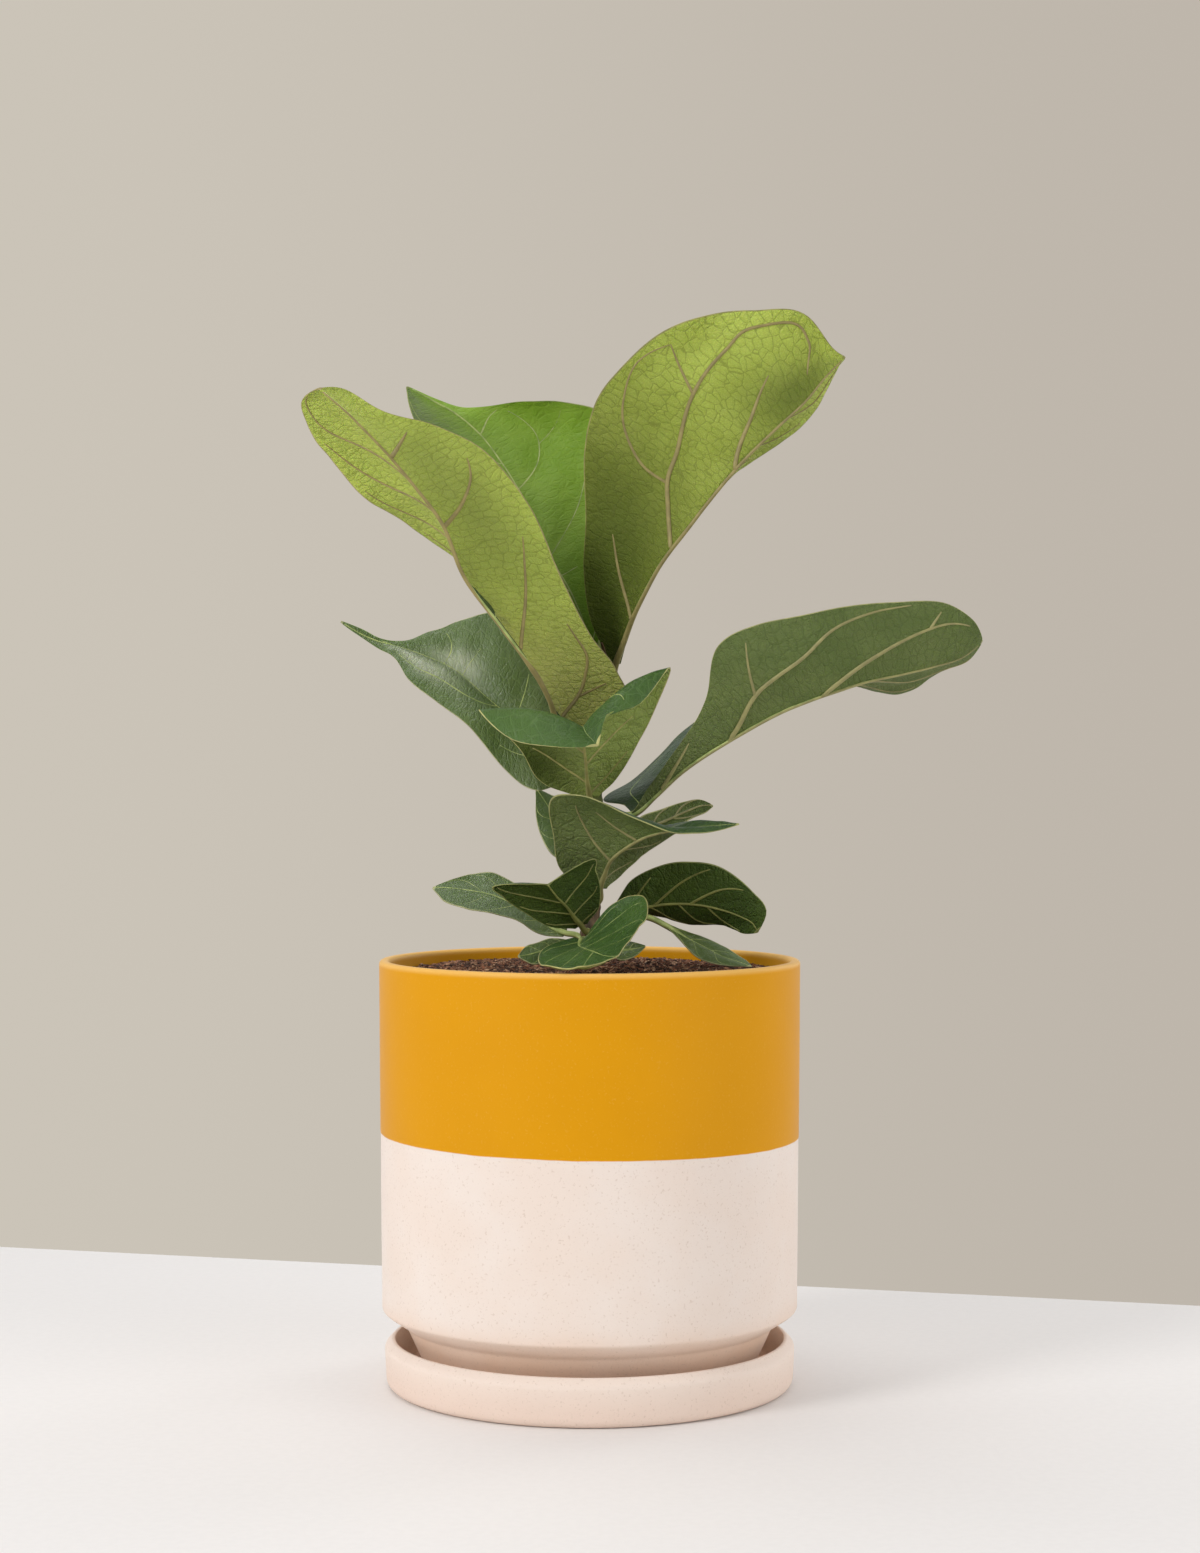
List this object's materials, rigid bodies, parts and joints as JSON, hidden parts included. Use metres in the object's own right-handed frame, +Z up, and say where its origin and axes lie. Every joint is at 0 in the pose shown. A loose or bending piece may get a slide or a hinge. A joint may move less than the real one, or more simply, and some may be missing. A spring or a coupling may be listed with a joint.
{
  "type": "potted fiddle leaf fig",
  "caption": "Young fiddle leaf fig with broad cupped leaves on a short woody stem, growing from soil in a straight-sided two-tone ceramic pot with a matching shallow saucer",
  "frame": {"origin": "the middle of the saucer's underside", "axes": "+X to the right of the plant's front, +Y towards its back, +Z up, the longest way"},
  "size_m": [0.3176, 0.203, 0.5084],
  "materials": {
    "pot_glazed_stoneware": "satin marigold glaze over a bare matt band at the foot",
    "saucer_bisque": "bare matt bisque, finely speckled",
    "potting_mix": "matt, crumbly bark and peat",
    "stem_bark": "matt bark with leaf scars",
    "leaf_blade": "leathery, satin above and matt below"
  },
  "bodies": {
    "root": {"pot": "pot_glazed_stoneware", "saucer": "saucer_bisque", "potting_soil": "potting_mix", "stem": "stem_bark", "leaf_upper_left": "leaf_blade", "leaf_upper_right": "leaf_blade", "leaf_upper_back": "leaf_blade", "leaf_mid_left": "leaf_blade", "leaf_front_mid": "leaf_blade", "leaf_right": "leaf_blade", "leaf_center": "leaf_blade", "leaf_behind_left": "leaf_blade", "leaf_behind_right": "leaf_blade", "leaf_low_left": "leaf_blade", "leaf_low_front_left": "leaf_blade", "leaf_low_front": "leaf_blade", "leaf_low_front_small": "leaf_blade", "leaf_low_back": "leaf_blade", "leaf_low_right": "leaf_blade", "leaf_low_right_soil": "leaf_blade"}
  },
  "joints": []
}
